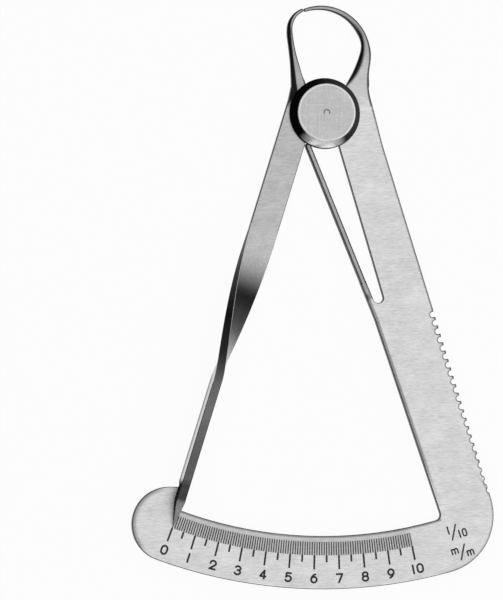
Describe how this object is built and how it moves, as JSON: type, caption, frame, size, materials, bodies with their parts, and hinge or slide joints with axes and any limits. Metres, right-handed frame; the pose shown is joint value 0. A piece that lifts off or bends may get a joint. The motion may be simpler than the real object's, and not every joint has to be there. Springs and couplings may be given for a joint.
{
  "type": "thickness caliper",
  "caption": "Flat spring-closed thickness caliper with a pointer on a curved scale, for measuring small thicknesses between two curved jaws.",
  "frame": {"origin": "on the pivot axis, at the flat rear face of the plates", "axes": "+Z out of the scale face along the pivot axis, +Y from the pivot towards the jaws, +X towards the frame's leg"},
  "size_m": [0.0626, 0.1003, 0.0053],
  "materials": {
    "plate_steel": "brushed",
    "lever_steel": "brushed",
    "cap_steel": "turned, bright bevel",
    "stud_steel": "bright",
    "washer_steel": "satin",
    "black_enamel": "matt filled marks"
  },
  "bodies": {
    "frame": {"frame_plate": "plate_steel", "pivot_stud": "stud_steel", "thrust_washer": "washer_steel", "spring_washer": "washer_steel", "hub_cap": "cap_steel", "tenth_marks": "black_enamel", "half_millimetre_marks": "black_enamel", "millimetre_marks": "black_enamel", "scale_numerals": "black_enamel", "unit_legend": "black_enamel"},
    "lever": {"pointer_lever": "lever_steel"},
    "spring": {"spring_tongue": "plate_steel"}
  },
  "joints": [
    {"name": "lever_pivot", "type": "hinge", "parent": "frame", "child": "lever", "pos_m": [0, 0, 0.00075], "axis": [0, 0, 1], "range_deg": [0, 31.88], "stiffness_Nm_per_rad": 0.06, "springref_deg": -5.73},
    {"name": "spring_flex", "type": "hinge", "parent": "frame", "child": "spring", "pos_m": [0.00661, -0.02863, 0.00075], "axis": [0, 0, 1], "range_deg": [-8.4, 0]}
  ],
  "couplings": [
    {"joint": "spring_flex", "follows": "lever_pivot", "ratio": -0.26}
  ]
}
